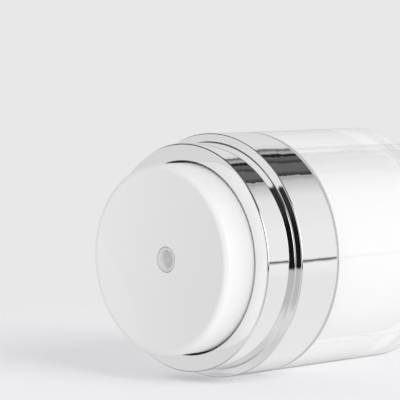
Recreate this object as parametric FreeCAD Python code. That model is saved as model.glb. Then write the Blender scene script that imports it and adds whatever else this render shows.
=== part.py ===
import FreeCAD, Part
import math
import os
from collections import namedtuple

# Press-top airless pump bottle, standing on its base.
# Millimetres, +Z up the bottle's axis, origin at the middle of the base.

# Driving dimensions of the outside
body_radius = 27.0
body_height = 39.4
step_width = 2.0
collar_face = 3.5
head_gap = 0.7
head_overlap = 2.5
dish_depth = 2.3
head_edge_round = 1.3
nozzle_radius = 2.8

# Travel of the moving pieces
press_stroke = 4.5
valve_lift = 0.8
piston_float = 1.0

# Clearances
fit_clearance = 0.1
running_clearance = 0.06
contact_gap = 0.05
end_clearance = 0.3
cut_overrun = 1.0

# Outer bottle
bottle_wall = 4.3
bottle_base = 4.6
base_round = 1.2
base_inner_round = 2.0
foot_ring_width = 5.0
base_recess = 0.5
base_vent_radius = 1.2
neck_gap = 0.5
neck_bead = 0.35
neck_bead_length = 1.2
neck_bead_lift = 2.4
neck_lead = 1.6

# Inner bottle
inner_bottle_gap = 1.1
inner_wall = 1.3
inner_floor = 1.3
inner_floor_gap = 0.4
inner_foot_round = 1.6
inner_floor_round = 0.25
inner_vent_radius = 1.5
inner_flange = 1.4
inner_flange_setback = 0.3
snap_bite = 0.4
snap_bead_length = 1.2
snap_bead_drop = 0.6

# Shoulder ring
shoulder_wall = 1.3
shoulder_top = 1.2
shoulder_edge_round = 0.4
shoulder_ledge = 1.2
shoulder_ledge_bite = 0.7
shoulder_bead_length = 1.0
shoulder_rise = 1.0

# Collar ring
collar_wall = 1.0
collar_top = 1.1
collar_edge_round = 0.35
spigot_depth = 1.0
spigot_setback = 0.4
collar_lip = 0.6
collar_lip_drop = 0.9

# Snap collar
snap_skirt_gap = 0.6
snap_lead = 0.4
snap_ledge = 1.2
snap_slit_count = 8
snap_slit_width = 1.0

# Gaskets
neck_gasket_thickness = 0.8
cylinder_gasket_thickness = 0.6

# Pump carrier
carrier_wall = 1.35
carrier_floor = 1.4
carrier_flange = 1.4
carrier_flange_bite = 0.6
carrier_corner_round = 1.0
carrier_rib_count = 6
carrier_rib_thickness = 1.2
carrier_rib_height = 3.0

# Pump cylinder
cylinder_wall = 1.2
cylinder_flange = 1.2
cylinder_flange_reach = 1.8
cylinder_foot = 0.9
cylinder_lip = 0.4
cylinder_lip_reach = 0.2
cylinder_bead = 0.3

# Valve seat and inlet valve
seat_thickness = 1.4
seat_rebate = 0.5
inlet_hole_count = 6
inlet_hole_radius = 0.85
inlet_hole_circle = 2.5
valve_radius = 3.9
valve_thickness = 0.7
valve_rim = 0.35
valve_crown_radius = 1.3
valve_stem_radius = 0.85
valve_stem_clearance = 0.15
valve_bulb_radius = 1.4
valve_bulb_length = 1.3
valve_bulb_tip = 0.55

# Stem, its tip and the piston on it
stem_radius = 3.0
stem_wall = 0.9
journal_step = 0.4
shoulder_gap = 0.9
shoulder_thickness = 0.8
port_count = 4
port_radius = 0.55
port_lift = 0.3
tip_flange = 1.0
tip_gap = 1.3
tip_chamfer = 0.4
tip_plug_length = 1.6
piston_width = 2.6
piston_height = 4.2
piston_lip = 0.4
piston_lip_length = 0.8
piston_waist = 0.6
piston_taper = 0.8
piston_groove = 1.1
piston_groove_setback = 0.3
piston_relief = 0.6
piston_collar = 1.4

# Stem guide
guide_plug = 1.6
guide_flange = 0.8
guide_stand = 2.7

# Return spring
spring_wire_radius = 0.4
spring_clearance = 0.4
spring_turns = 6
spring_close_share = 0.6

# Press head, its core and the nozzle
head_wall = 1.3
head_plate = 1.6
head_skirt_round = 0.4
head_bead = 0.3
head_bead_length = 0.8
head_rib_count = 6
head_rib_thickness = 1.0
head_rib_gap = 1.2
nozzle_pad = 1.4
boss_wall = 1.2
core_plate = 1.4
core_hub_wall = 1.4
hub_stand = 1.8
core_guide_wall = 1.1
core_guide_depth = 1.2
core_rim_width = 1.7
spoke_count = 6
spoke_width = 2.4
nozzle_flange = 0.75
nozzle_flange_setback = 0.45
nozzle_wall = 0.5
nozzle_recess = 1.3
nozzle_draft = 0.2
nozzle_membrane = 0.45
nozzle_dome = 0.35
nozzle_bow_share = 0.75
nozzle_slit_radius = 0.3
nozzle_bore = 1.6

# Follower piston
follower_height = 8.1
follower_wall = 1.2
follower_lip = 0.65
follower_lip_length = 1.0
follower_waist = 1.0
follower_taper = 1.4
follower_groove = 2.0
follower_groove_share = 0.25
follower_crown_drop = 0.3
follower_crown_setback = 2.9
follower_side = 1.5
follower_well_gap = 1.9
follower_well_draft = 0.8
follower_round = 0.6

# A corner's rounding takes at most this share of the shorter side beside it. Ribs start half a step round.
corner_share = 0.45
half_share = 0.5

# Radii of the outside and the bottles, each from the one outside it
collar_radius = body_radius - step_width
collar_inner = collar_radius - collar_wall
collar_bore_radius = collar_radius - collar_face
head_radius = collar_bore_radius - head_gap
spigot_radius = collar_radius - spigot_setback
snap_outer = collar_inner - fit_clearance
shoulder_inner = body_radius - shoulder_wall
neck_radius = shoulder_inner - neck_gap
bottle_bore = body_radius - bottle_wall
inner_flange_radius = neck_radius - inner_flange_setback
inner_radius = bottle_bore - inner_bottle_gap
snap_bead_radius = inner_radius + snap_bite
chamber_radius = inner_radius - inner_wall
carrier_plug = chamber_radius - fit_clearance
carrier_inner = carrier_plug - carrier_wall
carrier_flange_radius = collar_bore_radius + carrier_flange_bite
skirt_inner = head_radius - head_wall
core_rim_radius = skirt_inner - fit_clearance

# Radii of the pump, each from the one inside it
journal_radius = stem_radius - journal_step
stem_bore = journal_radius - stem_wall
piston_relief_radius = journal_radius + piston_relief
cylinder_bore = journal_radius + piston_width
shoulder_radius = cylinder_bore - shoulder_gap
tip_flange_radius = cylinder_bore - tip_gap
piston_groove_radius = tip_flange_radius + piston_groove_setback
seat_bore = cylinder_bore + seat_rebate
cylinder_radius = cylinder_bore + cylinder_wall
cylinder_bead_radius = cylinder_radius + cylinder_bead
cylinder_flange_radius = cylinder_radius + cylinder_flange_reach
spring_radius = cylinder_radius + spring_clearance + spring_wire_radius
spring_outer = spring_radius + spring_wire_radius
core_guide_inner = spring_outer + end_clearance
core_guide_outer = core_guide_inner + core_guide_wall
hub_radius = stem_radius + contact_gap + core_hub_wall
boss_inner = hub_radius + fit_clearance
boss_outer = boss_inner + boss_wall
nozzle_flange_radius = hub_radius - nozzle_flange_setback
nozzle_neck = nozzle_radius - fit_clearance
follower_well_radius = cylinder_bead_radius + follower_well_gap

# Levels of the bottles and of what stands on the inner bottle's rim
inner_floor_z = bottle_base + inner_floor_gap
chamber_floor_z = inner_floor_z + inner_floor
neck_bead_z = body_height + neck_bead_lift
neck_bead_top_z = neck_bead_z + neck_bead_length
neck_rim_z = neck_bead_top_z + neck_lead
inner_flange_top_z = neck_rim_z + inner_flange
snap_skirt_z = inner_flange_top_z + snap_skirt_gap
snap_bead_bottom_z = snap_skirt_z + snap_lead + snap_bead_length
snap_bead_top_z = snap_bead_bottom_z + snap_bead_length
inner_rim_z = snap_bead_top_z + snap_bead_drop
step_z = inner_rim_z + shoulder_rise
carrier_seat_z = inner_rim_z + neck_gasket_thickness
carrier_top_z = carrier_seat_z + carrier_flange

# Levels down the pump, which hangs from the carrier's rim
guide_top_z = carrier_top_z + guide_stand
cylinder_top_z = guide_top_z - guide_flange
guide_z = cylinder_top_z - guide_plug
shoulder_top_z = guide_z - contact_gap
shoulder_z = shoulder_top_z - shoulder_thickness
piston_top_z = shoulder_z - fit_clearance - piston_float
piston_z = piston_top_z - piston_height
tip_top_z = piston_z - contact_gap
tip_z = tip_top_z - tip_flange
valve_open_z = tip_z - press_stroke - end_clearance
valve_z = valve_open_z - valve_lift - valve_thickness
seat_top_z = valve_z - contact_gap
seat_z = seat_top_z - seat_thickness
bulb_top_z = seat_z - valve_lift - contact_gap
bulb_z = bulb_top_z - valve_bulb_length
cylinder_foot_z = seat_z - contact_gap - cylinder_lip
carrier_floor_z = cylinder_foot_z + cylinder_foot
carrier_floor_top_z = carrier_floor_z + carrier_floor
cylinder_seat_z = carrier_floor_top_z + cylinder_gasket_thickness
spring_seat_z = cylinder_seat_z + cylinder_flange

# Levels of the head at rest, and of the collar that guides its skirt
core_z = guide_top_z + end_clearance + press_stroke
core_top_z = core_z + core_plate
nozzle_flange_z = core_top_z + hub_stand
stem_top_z = nozzle_flange_z - contact_gap
pad_z = nozzle_flange_z + nozzle_flange + contact_gap
dish_z = pad_z + nozzle_pad
recess_z = dish_z - nozzle_recess
head_rim_z = dish_z + dish_depth
skirt_z = carrier_top_z + end_clearance + press_stroke
collar_top_z = skirt_z + head_overlap
collar_under_z = collar_top_z - collar_top

# Levels of the follower with the chamber full, and its travel up to the carrier
follower_z = chamber_floor_z + inner_floor_round + contact_gap
follower_top_z = follower_z + follower_height
follower_travel = carrier_floor_z - end_clearance - follower_top_z
follower_well_z = follower_top_z - (carrier_floor_z - bulb_z)

# The head's face is a ball's hollow that runs smoothly into the rounded edge.
edge_circle = head_radius - head_edge_round
edge_reach = (edge_circle ** 2 + dish_depth ** 2) / (2 * dish_depth)
dish_radius = edge_reach - head_edge_round
dish_centre_z = dish_z + dish_radius
dish_share = dish_radius / edge_reach
dish_edge_radius = edge_circle * dish_share
dish_edge_z = dish_centre_z - (edge_reach - dish_depth) * dish_share

origin = FreeCAD.Vector(0, 0, 0)
up = FreeCAD.Vector(0, 0, 1)
along_x = FreeCAD.Vector(1, 0, 0)

# A point that the curve between two corners passes through
Bow = namedtuple("Bow", "r z")


def in_plane(r, z):
    return FreeCAD.Vector(r, 0, z)


def rounded_corner(before, at, after, rounding):
    # The two ends of the rounding at a corner, and the middle of its arc.
    back = before - at
    ahead = after - at
    half_angle = back.getAngle(ahead) / 2
    room = corner_share * min(back.Length, ahead.Length)
    run = min(rounding / math.tan(half_angle), room)
    radius = run * math.tan(half_angle)
    back.normalize()
    ahead.normalize()
    inward = back + ahead
    inward.normalize()
    middle = at + inward * (radius / math.sin(half_angle) - radius)
    return at + back * run, middle, at + ahead * run


def outline(corners):
    # Closed outline beside the axis; a corner's third value is its rounding.
    count = len(corners)
    edges = []
    ends = []
    for index, corner in enumerate(corners):
        if isinstance(corner, Bow):
            ends.append(None)
            continue
        at = in_plane(corner[0], corner[1])
        if len(corner) < 3:
            ends.append((at, at))
            continue
        before = corners[index - 1]
        after = corners[(index + 1) % count]
        start, middle, end = rounded_corner(
            in_plane(before[0], before[1]), at, in_plane(after[0], after[1]), corner[2]
        )
        edges.append(Part.Arc(start, middle, end).toShape())
        ends.append((start, end))
    for index, corner in enumerate(corners):
        following = (index + 1) % count
        if ends[index] is None:
            middle = in_plane(corner.r, corner.z)
            edges.append(Part.Arc(ends[index - 1][1], middle, ends[following][0]).toShape())
        elif ends[following] is not None:
            edges.append(Part.LineSegment(ends[index][1], ends[following][0]).toShape())
    return Part.Wire(Part.__sortEdges__(edges))


def turned(corners):
    solid = Part.Face(outline(corners)).revolve(origin, up, 360)
    if solid.Volume < 0:
        solid.reverse()
    return solid


def ring(inner, outer, bottom, top):
    return turned([(inner, bottom), (outer, bottom), (outer, top), (inner, top)])


def around(shape, count, start_share=0):
    # Copies of a shape, evenly round the axis from a share of one step.
    copies = []
    for index in range(count):
        copy = shape.copy()
        copy.rotate(origin, up, 360 * (index + start_share) / count)
        copies.append(copy)
    return copies


def rib(inner, outer, thickness, bottom, top):
    # Upright radial rib along +X.
    corner = FreeCAD.Vector(inner, -thickness / 2, bottom)
    return Part.makeBox(outer - inner, thickness, top - bottom, corner)


def dish_height(r):
    return dish_centre_z - math.sqrt(dish_radius ** 2 - r ** 2)


def plate_underside(r):
    return dish_centre_z - math.sqrt((dish_radius + head_plate) ** 2 - r ** 2)


def head_edge_bow():
    # Middle of the rounded edge, between the dish's slope and the upright side.
    centre = in_plane(edge_circle, head_rim_z - head_edge_round)
    towards = in_plane(-edge_circle, edge_reach - dish_depth)
    towards.normalize()
    halfway = towards + along_x
    halfway.normalize()
    middle = centre + halfway * head_edge_round
    return Bow(middle.x, middle.z)


def outer_bottle():
    # Clear shell with a heavy base on a foot ring, and a neck with a snap bead.
    recess_radius = body_radius - base_round - foot_ring_width
    return turned([
        (base_vent_radius, base_recess),
        (recess_radius, base_recess),
        (recess_radius, 0),
        (body_radius, 0, base_round),
        (body_radius, body_height),
        (neck_radius, body_height),
        (neck_radius, neck_bead_z),
        (neck_radius + neck_bead, neck_bead_z + neck_bead_length / 2),
        (neck_radius, neck_bead_top_z),
        (neck_radius, neck_rim_z),
        (bottle_bore, neck_rim_z),
        (bottle_bore, bottle_base, base_inner_round),
        (base_vent_radius, bottle_base),
    ])


def inner_bottle():
    # Product chamber with a hanging flange, a snap bead under its rim and a vent in its floor.
    bead_middle_z = (snap_bead_bottom_z + snap_bead_top_z) / 2
    return turned([
        (inner_vent_radius, inner_floor_z),
        (inner_radius, inner_floor_z, inner_foot_round),
        (inner_radius, neck_rim_z),
        (inner_flange_radius, neck_rim_z),
        (inner_flange_radius, inner_flange_top_z),
        (inner_radius, inner_flange_top_z),
        (inner_radius, snap_bead_bottom_z),
        (snap_bead_radius, bead_middle_z),
        (inner_radius, snap_bead_top_z),
        (inner_radius, inner_rim_z),
        (chamber_radius, inner_rim_z),
        (chamber_radius, chamber_floor_z, inner_floor_round),
        (inner_vent_radius, chamber_floor_z),
    ])


def shoulder_ring():
    # Chrome sleeve flush with the body. Its bead snaps under the neck's; its ledge holds the flange down.
    opening = spigot_radius + fit_clearance
    ledge_radius = inner_flange_radius - shoulder_ledge_bite
    bead_radius = neck_radius + fit_clearance
    return turned([
        (shoulder_inner, body_height),
        (body_radius, body_height, shoulder_edge_round),
        (body_radius, step_z, shoulder_edge_round),
        (opening, step_z),
        (opening, step_z - shoulder_top),
        (shoulder_inner, step_z - shoulder_top),
        (shoulder_inner, inner_flange_top_z + shoulder_ledge),
        (ledge_radius, inner_flange_top_z + shoulder_ledge),
        (ledge_radius, inner_flange_top_z),
        (shoulder_inner, inner_flange_top_z),
        (shoulder_inner, neck_bead_z),
        (bead_radius, neck_bead_z - shoulder_bead_length / 2),
        (shoulder_inner, neck_bead_z - shoulder_bead_length),
    ])


def collar_ring():
    # Chrome collar on the shoulder's step, with a spigot below it and a lip turned in at the bore.
    lip_outer = collar_bore_radius + collar_lip
    return turned([
        (collar_inner, step_z - spigot_depth),
        (spigot_radius, step_z - spigot_depth),
        (spigot_radius, step_z),
        (collar_radius, step_z),
        (collar_radius, collar_top_z, collar_edge_round),
        (collar_bore_radius, collar_top_z, collar_edge_round),
        (collar_bore_radius, collar_under_z - collar_lip_drop),
        (lip_outer, collar_under_z - collar_lip_drop),
        (lip_outer, collar_under_z),
        (collar_inner, collar_under_z),
    ])


def snap_collar():
    # Ring inside the chrome collar. Its ledge holds the carrier; its slit skirt snaps on the inner bottle.
    skirt_radius = snap_bead_radius + fit_clearance
    bead_radius = inner_radius + fit_clearance
    wall_radius = max(carrier_flange_radius, collar_bore_radius + collar_lip, inner_radius) + fit_clearance
    sleeve = turned([
        (skirt_radius, snap_skirt_z),
        (snap_outer, snap_skirt_z),
        (snap_outer, collar_under_z),
        (wall_radius, collar_under_z),
        (wall_radius, carrier_top_z + snap_ledge),
        (collar_bore_radius, carrier_top_z + snap_ledge),
        (collar_bore_radius, carrier_top_z),
        (wall_radius, carrier_top_z),
        (wall_radius, inner_rim_z),
        (skirt_radius, inner_rim_z),
        (skirt_radius, snap_bead_bottom_z),
        (bead_radius, snap_bead_bottom_z - snap_bead_length / 2),
        (skirt_radius, snap_bead_bottom_z - snap_bead_length),
    ])
    slit_start = bead_radius - cut_overrun
    slit_end = snap_outer + cut_overrun
    slit = rib(slit_start, slit_end, snap_slit_width, snap_skirt_z - cut_overrun, inner_rim_z)
    return sleeve.cut(around(slit, snap_slit_count))


def neck_gasket():
    return ring(chamber_radius + fit_clearance, inner_radius - fit_clearance, inner_rim_z, carrier_seat_z)


def pump_carrier():
    # Cup that plugs the chamber, with a flange on the gasket and ribs round the spring.
    cup = turned([
        (cylinder_radius + fit_clearance, carrier_floor_z),
        (carrier_plug, carrier_floor_z, carrier_corner_round),
        (carrier_plug, carrier_seat_z),
        (carrier_flange_radius, carrier_seat_z),
        (carrier_flange_radius, carrier_top_z),
        (carrier_inner, carrier_top_z),
        (carrier_inner, carrier_floor_top_z, carrier_corner_round),
        (cylinder_radius + fit_clearance, carrier_floor_top_z),
    ])
    rib_inner = cylinder_flange_radius + end_clearance
    rib_outer = carrier_inner + carrier_wall / 2
    rib_bottom = carrier_floor_z + carrier_floor / 2
    rib_top = carrier_floor_top_z + carrier_rib_height
    one_rib = rib(rib_inner, rib_outer, carrier_rib_thickness, rib_bottom, rib_top)
    return cup.fuse(around(one_rib, carrier_rib_count)).removeSplitter()


def pump_cylinder():
    # Bore with a flange on the gasket, a snap bead under the carrier's floor and a rebate for the valve seat.
    bead_top_z = carrier_floor_z - contact_gap
    bead_middle_z = (cylinder_foot_z + bead_top_z) / 2
    return turned([
        (seat_bore - cylinder_lip_reach, cylinder_foot_z),
        (cylinder_radius, cylinder_foot_z),
        (cylinder_bead_radius, bead_middle_z),
        (cylinder_radius, bead_top_z),
        (cylinder_radius, cylinder_seat_z),
        (cylinder_flange_radius, cylinder_seat_z),
        (cylinder_flange_radius, spring_seat_z),
        (cylinder_radius, spring_seat_z),
        (cylinder_radius, cylinder_top_z),
        (cylinder_bore, cylinder_top_z),
        (cylinder_bore, seat_top_z),
        (seat_bore, seat_top_z),
        (seat_bore, cylinder_foot_z + cylinder_lip),
        (seat_bore - cylinder_lip_reach, cylinder_foot_z + cylinder_lip),
    ])


def cylinder_gasket():
    inner = cylinder_radius + fit_clearance
    return ring(inner, cylinder_flange_radius, carrier_floor_top_z, cylinder_seat_z)


def valve_seat():
    # Disc with a hole for the valve's stem and a ring of inlet holes under its skirt.
    disc = ring(valve_stem_radius + valve_stem_clearance, seat_bore - contact_gap, seat_z, seat_top_z)
    place = FreeCAD.Vector(inlet_hole_circle, 0, seat_z - cut_overrun)
    hole = Part.makeCylinder(inlet_hole_radius, seat_thickness + 2 * cut_overrun, place)
    return disc.cut(around(hole, inlet_hole_count))


def inlet_valve():
    # Umbrella valve: a skirt over the inlet holes, a stem through the seat and a bulb that limits the lift.
    return turned([
        (0, bulb_z),
        (valve_bulb_tip, bulb_z),
        (valve_bulb_radius, bulb_top_z),
        (valve_stem_radius, bulb_top_z),
        (valve_stem_radius, valve_z),
        (valve_radius, valve_z),
        (valve_radius, valve_z + valve_rim),
        (valve_crown_radius, valve_z + valve_thickness),
        (0, valve_z + valve_thickness),
    ])


def stem():
    # Hollow rod with a journal for the piston, a shoulder that drives it and side ports.
    rod = turned([
        (stem_bore, tip_top_z),
        (journal_radius, tip_top_z),
        (journal_radius, shoulder_z),
        (shoulder_radius, shoulder_z),
        (shoulder_radius, shoulder_top_z),
        (stem_radius, shoulder_top_z),
        (stem_radius, stem_top_z),
        (stem_bore, stem_top_z),
    ])
    port_z = tip_top_z + tip_plug_length + port_lift + port_radius
    port = Part.makeCylinder(port_radius, shoulder_radius, in_plane(0, port_z), along_x)
    return rod.cut(around(port, port_count))


def stem_tip():
    # Plug in the stem's foot. Its flange is the seat that the piston shuts on.
    return turned([
        (0, tip_z),
        (tip_flange_radius - tip_chamfer, tip_z),
        (tip_flange_radius, tip_z + tip_chamfer),
        (tip_flange_radius, tip_top_z),
        (stem_bore - contact_gap, tip_top_z),
        (stem_bore - contact_gap, tip_top_z + tip_plug_length),
        (0, tip_top_z + tip_plug_length),
    ])


def pump_piston():
    # Two thin lips on a waisted body that seals on the journal at its top and on the tip at its foot.
    lip_radius = cylinder_bore - running_clearance
    lip_inner = lip_radius - piston_lip
    waist = lip_radius - piston_waist
    bore = journal_radius + running_clearance
    return turned([
        (piston_relief_radius, piston_z),
        (tip_flange_radius, piston_z),
        (piston_groove_radius, piston_z + piston_groove),
        (lip_inner, piston_z),
        (lip_radius, piston_z),
        (lip_radius, piston_z + piston_lip_length),
        (waist, piston_z + piston_lip_length + piston_taper),
        (waist, piston_top_z - piston_lip_length - piston_taper),
        (lip_radius, piston_top_z - piston_lip_length),
        (lip_radius, piston_top_z),
        (lip_inner, piston_top_z),
        (piston_groove_radius, piston_top_z - piston_groove),
        (tip_flange_radius, piston_top_z),
        (bore, piston_top_z),
        (bore, piston_top_z - piston_collar),
        (piston_relief_radius, piston_top_z - piston_collar),
    ])


def stem_guide():
    # Plug in the cylinder's top: the stem runs in it, and the stem's shoulder stops under it.
    bore = stem_radius + running_clearance
    plug = cylinder_bore - contact_gap
    return turned([
        (bore, guide_z),
        (plug, guide_z),
        (plug, cylinder_top_z),
        (cylinder_radius, cylinder_top_z),
        (cylinder_radius, guide_top_z),
        (bore, guide_top_z),
    ])


def coil_point(angle, bottom, rise):
    # A point on the coil, whose turns close up towards both ends, and the coil's direction there.
    whole = 2 * math.pi
    turn_share = angle / (whole * spring_turns)
    lift_share = turn_share - spring_close_share * math.sin(whole * turn_share) / whole
    climb = rise * (1 - spring_close_share * math.cos(whole * turn_share)) / (whole * spring_turns)
    across = spring_radius * math.cos(angle)
    beside = spring_radius * math.sin(angle)
    heading = FreeCAD.Vector(-beside, across, climb)
    heading.normalize()
    return FreeCAD.Vector(across, beside, bottom + rise * lift_share), heading


def smooth_arc(start, knee, end):
    # Arc that leaves start and reaches end along the two equal sides of a knee.
    bend = (knee - start).getAngle(end - knee)
    weight = math.cos(bend / 2)
    middle = (start + knee * (2 * weight) + end) * (1 / (2 + 2 * weight))
    return Part.Arc(start, middle, end).toShape()


def biarc(start, start_heading, end, end_heading):
    # Two arcs that join smoothly and keep the headings at both ends.
    span = end - start
    headings = start_heading + end_heading
    square = 2 * start_heading.dot(end_heading) - 2
    middle_term = span.dot(headings)
    reach = (middle_term - math.sqrt(middle_term ** 2 - square * span.dot(span))) / square
    first_knee = start + start_heading * reach
    second_knee = end - end_heading * reach
    joint = (first_knee + second_knee) * half_share
    return [smooth_arc(start, first_knee, joint), smooth_arc(joint, second_knee, end)]


def return_spring():
    # One unbroken round wire from the cylinder's flange to the head core, wound in half turns.
    bottom = spring_seat_z + spring_wire_radius + contact_gap
    rise = core_z - spring_wire_radius - contact_gap - bottom
    path = []
    for half_turn in range(2 * spring_turns):
        start, start_heading = coil_point(math.pi * half_turn, bottom, rise)
        end, end_heading = coil_point(math.pi * (half_turn + 1), bottom, rise)
        path += biarc(start, start_heading, end, end_heading)
    place, heading = coil_point(0, bottom, rise)
    section = Part.Wire(Part.makeCircle(spring_wire_radius, place, heading))
    wire = Part.Wire(path).makePipeShell([section], True, False)
    print("spring: least gap to itself %.2f mm" % coil_gap(bottom, rise))
    return wire


def coil_gap(bottom, rise):
    # Least gap between the wire's points, measured half a turn apart or more.
    steps = 24
    points = [
        coil_point(2 * math.pi * step / steps, bottom, rise)[0] for step in range(spring_turns * steps + 1)
    ]
    nearest = min(
        (points[first] - points[second]).Length
        for first in range(len(points))
        for second in range(first + steps // 2, len(points))
    )
    return nearest - 2 * spring_wire_radius


def head_core():
    # Hub with the stem's socket, a plate with the spring's seat, and spokes to a rim inside the skirt.
    socket = stem_radius + contact_gap
    hub = turned([
        (socket, core_z),
        (core_guide_inner, core_z),
        (core_guide_inner, core_z - core_guide_depth),
        (core_guide_outer, core_z - core_guide_depth),
        (core_guide_outer, core_top_z),
        (hub_radius, core_top_z),
        (hub_radius, nozzle_flange_z),
        (socket, nozzle_flange_z),
    ])
    rim = ring(core_rim_radius - core_rim_width, core_rim_radius, core_z, core_top_z)
    spoke_start = core_guide_outer - core_guide_wall / 2
    spoke_end = core_rim_radius - core_rim_width / 2
    spoke = rib(spoke_start, spoke_end, spoke_width, core_z, core_top_z)
    return hub.fuse([rim] + around(spoke, spoke_count)).removeSplitter()


def press_head():
    # Dished push button with a skirt, a boss for the core's hub, a snap bead and ribs under the plate.
    bead_z = core_z - contact_gap
    dish_middle = (nozzle_radius + dish_edge_radius) / 2
    under_middle = (boss_outer + skirt_inner) / 2
    face = [
        Bow(dish_middle, dish_height(dish_middle)),
        (dish_edge_radius, dish_edge_z),
        head_edge_bow(),
        (head_radius, head_rim_z - head_edge_round),
    ]
    shell = turned([(nozzle_radius, dish_height(nozzle_radius))] + face + [
        (head_radius, skirt_z, head_skirt_round),
        (skirt_inner, skirt_z),
        (skirt_inner, bead_z - head_bead_length),
        (skirt_inner - head_bead, bead_z - head_bead_length / 2),
        (skirt_inner, bead_z),
        (skirt_inner, plate_underside(skirt_inner)),
        Bow(under_middle, plate_underside(under_middle)),
        (boss_outer, plate_underside(boss_outer)),
        (boss_outer, core_top_z),
        (boss_inner, core_top_z),
        (boss_inner, pad_z),
        (nozzle_radius, pad_z),
    ])
    rib_bottom = core_top_z + head_rib_gap
    under_face = turned([(boss_inner, dish_height(boss_inner))] + face + [
        (head_radius, rib_bottom),
        (boss_inner, rib_bottom),
    ])
    rib_inner = boss_outer - boss_wall / 2
    rib_outer = skirt_inner + head_wall / 2
    one_rib = rib(rib_inner, rib_outer, head_rib_thickness, rib_bottom, dish_z).common(under_face)
    return shell.fuse(around(one_rib, head_rib_count, half_share)).removeSplitter()


def nozzle_valve():
    # Soft cup, its rim level with the dish, with a domed membrane that opens at its middle.
    inner = nozzle_neck - nozzle_wall
    floor_radius = inner - nozzle_draft
    dome_z = recess_z + nozzle_dome
    under_z = recess_z - nozzle_membrane
    halfway = (floor_radius + nozzle_slit_radius) / 2
    return turned([
        (nozzle_bore, nozzle_flange_z),
        (nozzle_flange_radius, nozzle_flange_z),
        (nozzle_flange_radius, nozzle_flange_z + nozzle_flange),
        (nozzle_neck, nozzle_flange_z + nozzle_flange),
        (nozzle_neck, dish_z),
        (inner, dish_z),
        (floor_radius, recess_z),
        Bow(halfway, recess_z + nozzle_dome * nozzle_bow_share),
        (nozzle_slit_radius, dome_z),
        (nozzle_slit_radius, dome_z - nozzle_membrane),
        (nozzle_bore, under_z),
    ])


def follower_piston():
    # Rising floor of the chamber: a crown with a well for the inlet valve, and thin lips at both ends.
    lip_radius = chamber_radius - running_clearance
    lip_inner = lip_radius - follower_lip
    waist = lip_radius - follower_waist
    crown_z = follower_top_z - follower_crown_drop
    crown_radius = lip_radius - follower_crown_setback
    side_inner = waist - follower_side
    groove_radius = waist - follower_side * follower_groove_share
    well_rim = follower_well_radius + follower_well_draft
    return turned([
        (0, follower_well_z),
        (follower_well_radius, follower_well_z, follower_round),
        (well_rim, crown_z, follower_round),
        (crown_radius, crown_z, follower_round),
        (groove_radius, follower_top_z - follower_groove),
        (lip_inner, follower_top_z),
        (lip_radius, follower_top_z),
        (lip_radius, follower_top_z - follower_lip_length),
        (waist, follower_top_z - follower_lip_length - follower_taper),
        (waist, follower_z + follower_lip_length + follower_taper),
        (lip_radius, follower_z + follower_lip_length),
        (lip_radius, follower_z),
        (lip_inner, follower_z),
        (side_inner, follower_z + follower_groove),
        (side_inner, crown_z - follower_wall, follower_round),
        (well_rim + follower_wall, crown_z - follower_wall, follower_round),
        (follower_well_radius + follower_wall, follower_well_z - follower_wall, follower_round),
        (0, follower_well_z - follower_wall),
    ])


pieces = [
    outer_bottle,
    inner_bottle,
    shoulder_ring,
    collar_ring,
    snap_collar,
    neck_gasket,
    pump_carrier,
    pump_cylinder,
    cylinder_gasket,
    valve_seat,
    inlet_valve,
    stem_guide,
    return_spring,
    stem,
    stem_tip,
    pump_piston,
    head_core,
    press_head,
    nozzle_valve,
    follower_piston,
]

os.makedirs("parts", exist_ok=True)
for piece in pieces:
    shape = piece()
    shape.exportStep("parts/%s.step" % piece.__name__)
    print("%-16s %9.1f mm3" % (piece.__name__, shape.Volume))

chamber_ml = math.pi * chamber_radius ** 2 * follower_travel / 1000
print("follower travel %.2f mm, swept chamber %.1f ml" % (follower_travel, chamber_ml))
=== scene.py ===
import math

import bpy
import numpy as np
from mathutils import Matrix, Vector


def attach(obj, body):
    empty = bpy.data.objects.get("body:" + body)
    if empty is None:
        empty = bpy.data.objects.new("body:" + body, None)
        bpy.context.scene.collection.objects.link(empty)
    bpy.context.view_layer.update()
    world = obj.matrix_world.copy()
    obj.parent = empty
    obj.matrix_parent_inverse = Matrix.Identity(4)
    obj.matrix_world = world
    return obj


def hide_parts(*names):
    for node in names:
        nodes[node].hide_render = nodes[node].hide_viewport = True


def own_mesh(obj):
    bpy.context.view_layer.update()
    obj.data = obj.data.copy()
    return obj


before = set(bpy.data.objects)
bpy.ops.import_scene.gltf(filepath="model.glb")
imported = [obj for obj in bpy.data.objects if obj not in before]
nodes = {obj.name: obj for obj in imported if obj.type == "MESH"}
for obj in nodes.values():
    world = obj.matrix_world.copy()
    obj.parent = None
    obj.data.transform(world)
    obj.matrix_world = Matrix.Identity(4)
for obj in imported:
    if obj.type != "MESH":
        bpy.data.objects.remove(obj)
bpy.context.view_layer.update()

mm = 0.001
arcRoom = 0.48
scene = bpy.context.scene
scene.view_settings.view_transform = "Standard"


# Surfaces

def solidBox(name):
    # Largest radius, foot and top of a node's solid, in mm to the hundredth.
    mesh = nodes[name].data
    places = np.empty(3 * len(mesh.vertices), np.float32)
    mesh.vertices.foreach_get("co", places)
    x, y, z = places.reshape(-1, 3).T / mm
    box = dict(reach=np.hypot(x, y).max(), foot=z.min(), top=z.max())
    return {side: round(float(value), 2) for side, value in box.items()}


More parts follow.
